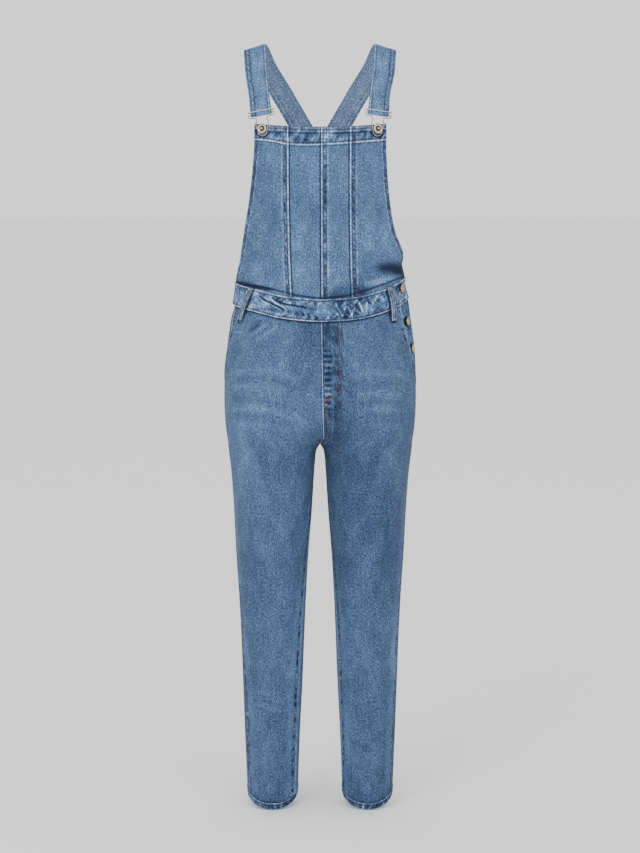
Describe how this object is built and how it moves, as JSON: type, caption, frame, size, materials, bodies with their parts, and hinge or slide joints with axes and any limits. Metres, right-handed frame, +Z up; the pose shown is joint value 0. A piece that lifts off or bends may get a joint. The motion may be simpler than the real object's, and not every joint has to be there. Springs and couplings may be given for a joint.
{
  "type": "denim overalls",
  "caption": "Full-length denim bib overalls in worn form, with wire-buckled straps that cross at the back, a waistband with belt loops and a buttoned side opening",
  "frame": {"origin": "between the wearer's shoulders, midway between the two straps, at the height where they rest", "axes": "+Z up along the garment, +X to the wearer's left (the side with the buttoned opening), -Y to the front of the bib"},
  "size_m": [0.3639, 0.2574, 1.461],
  "materials": {
    "denim": "mid-blue stonewashed cotton denim, matt, with pale worn ridges at the seams",
    "denim_inside": "paler weft side of the same denim, matt",
    "hardware_metal": "aged nickel, slightly warm, satin"
  },
  "bodies": {
    "root": {"front_leg_right": "denim", "front_leg_left": "denim", "back_leg_right": "denim", "back_leg_left": "denim", "pocket_facing_right": "denim", "button_placket": "denim", "hem_right": "denim", "hem_left": "denim", "waistband_front": "denim", "waistband_back": "denim", "belt_loop_front_right": "denim", "belt_loop_front_left": "denim", "belt_loop_back_right": "denim", "belt_loop_back_left": "denim", "belt_loop_back_centre": "denim", "bib_side_right": "denim", "bib_middle_right": "denim", "bib_middle_left": "denim", "bib_side_left": "denim", "bib_top_facing": "denim_inside", "back_bib": "denim", "strap_right": "denim", "strap_left": "denim", "hook_right": "hardware_metal", "hook_left": "hardware_metal", "slider_right": "hardware_metal", "slider_left": "hardware_metal", "bib_button_right": "hardware_metal", "bib_button_left": "hardware_metal", "waist_button": "hardware_metal", "placket_button_upper": "hardware_metal", "placket_button_lower": "hardware_metal"}
  },
  "joints": []
}
